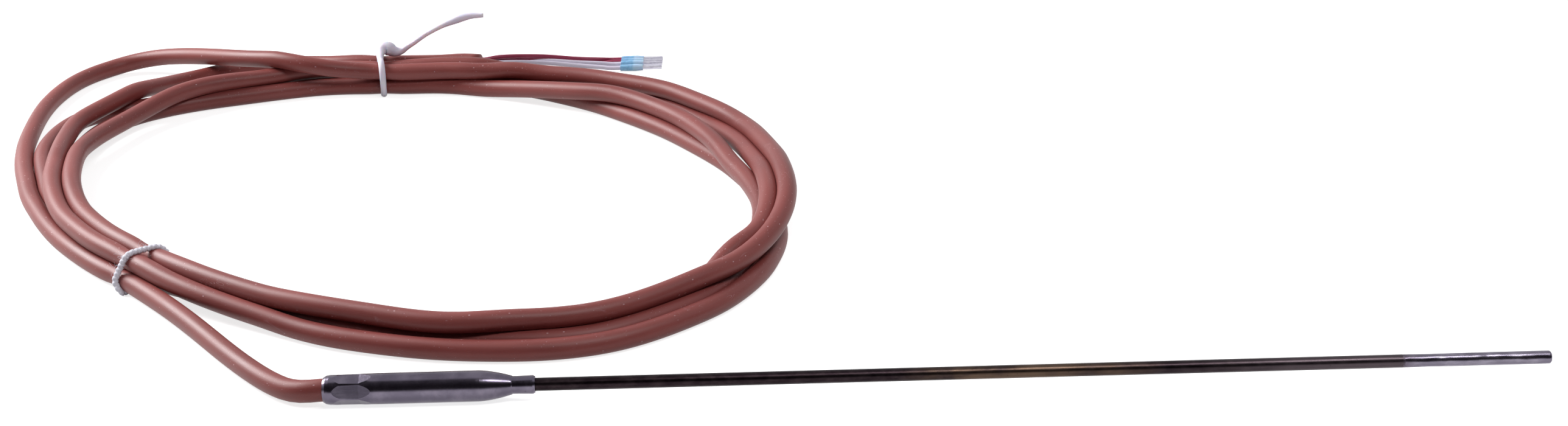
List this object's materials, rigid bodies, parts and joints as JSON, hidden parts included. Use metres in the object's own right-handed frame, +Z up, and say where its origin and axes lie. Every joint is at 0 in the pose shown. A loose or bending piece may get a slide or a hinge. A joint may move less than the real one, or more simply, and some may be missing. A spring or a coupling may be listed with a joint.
{
  "type": "resistance temperature probe with cable",
  "caption": "mineral-insulated resistance temperature probe with a crimped steel transition sleeve, a coiled red silicone cable held by ties, and ferruled cores",
  "frame": {"origin": "on the probe's axis at the end face of the sleeve's neck, where the bare sheath comes out", "axes": "+X along the probe towards its measuring tip, +Z up from the surface that the part lies on, +Y from the probe towards the cable's coil"},
  "size_m": [0.3966, 0.2521, 0.0229],
  "materials": {
    "sheath": "heat-darkened, satin",
    "bright_steel": "bright",
    "sleeve_steel": "satin",
    "oxide": "matt",
    "element": "matt",
    "conductor": "drawn",
    "brass": "drawn",
    "cover": "matt",
    "potting": "matt",
    "tinned_copper": "tinned",
    "jacket": "satin silicone",
    "red_core": "satin silicone",
    "white_core": "satin silicone",
    "ferrule_blue": "satin",
    "elastic": "braided",
    "nylon": "translucent"
  },
  "bodies": {
    "root": {"sheath_tube": "sheath", "sheath_insulation": "oxide", "sheath_conductor_1": "conductor", "sheath_conductor_2": "conductor", "sheath_conductor_3": "conductor", "sheath_conductor_4": "conductor", "tip_tube": "bright_steel", "tip_weld": "bright_steel", "tip_powder_fill": "oxide", "rtd_element": "element", "element_lead_1": "conductor", "element_lead_2": "conductor", "transition_sleeve": "sleeve_steel", "sleeve_potting": "potting", "splice_crimp_1": "brass", "splice_crimp_2": "brass", "splice_crimp_3": "brass", "splice_crimp_4": "brass", "splice_cover_1": "cover", "splice_cover_2": "cover", "splice_cover_3": "cover", "splice_cover_4": "cover", "lead_core_1": "red_core", "lead_core_2": "white_core", "lead_core_3": "white_core", "lead_core_4": "red_core", "lead_strand_1": "tinned_copper", "lead_strand_2": "tinned_copper", "lead_strand_3": "tinned_copper", "lead_strand_4": "tinned_copper", "cable_lead": "jacket", "cable_coil": "jacket", "cable_end": "jacket", "core_red_1": "red_core", "core_red_2": "red_core", "core_white_1": "white_core", "core_white_2": "white_core", "ferrule_collar_1": "ferrule_blue", "ferrule_collar_2": "ferrule_blue", "ferrule_collar_3": "ferrule_blue", "ferrule_collar_4": "ferrule_blue", "ferrule_tube_1": "tinned_copper", "ferrule_tube_2": "tinned_copper", "ferrule_tube_3": "tinned_copper", "ferrule_tube_4": "tinned_copper", "elastic_tie": "elastic", "nylon_tie": "nylon"}
  },
  "joints": []
}
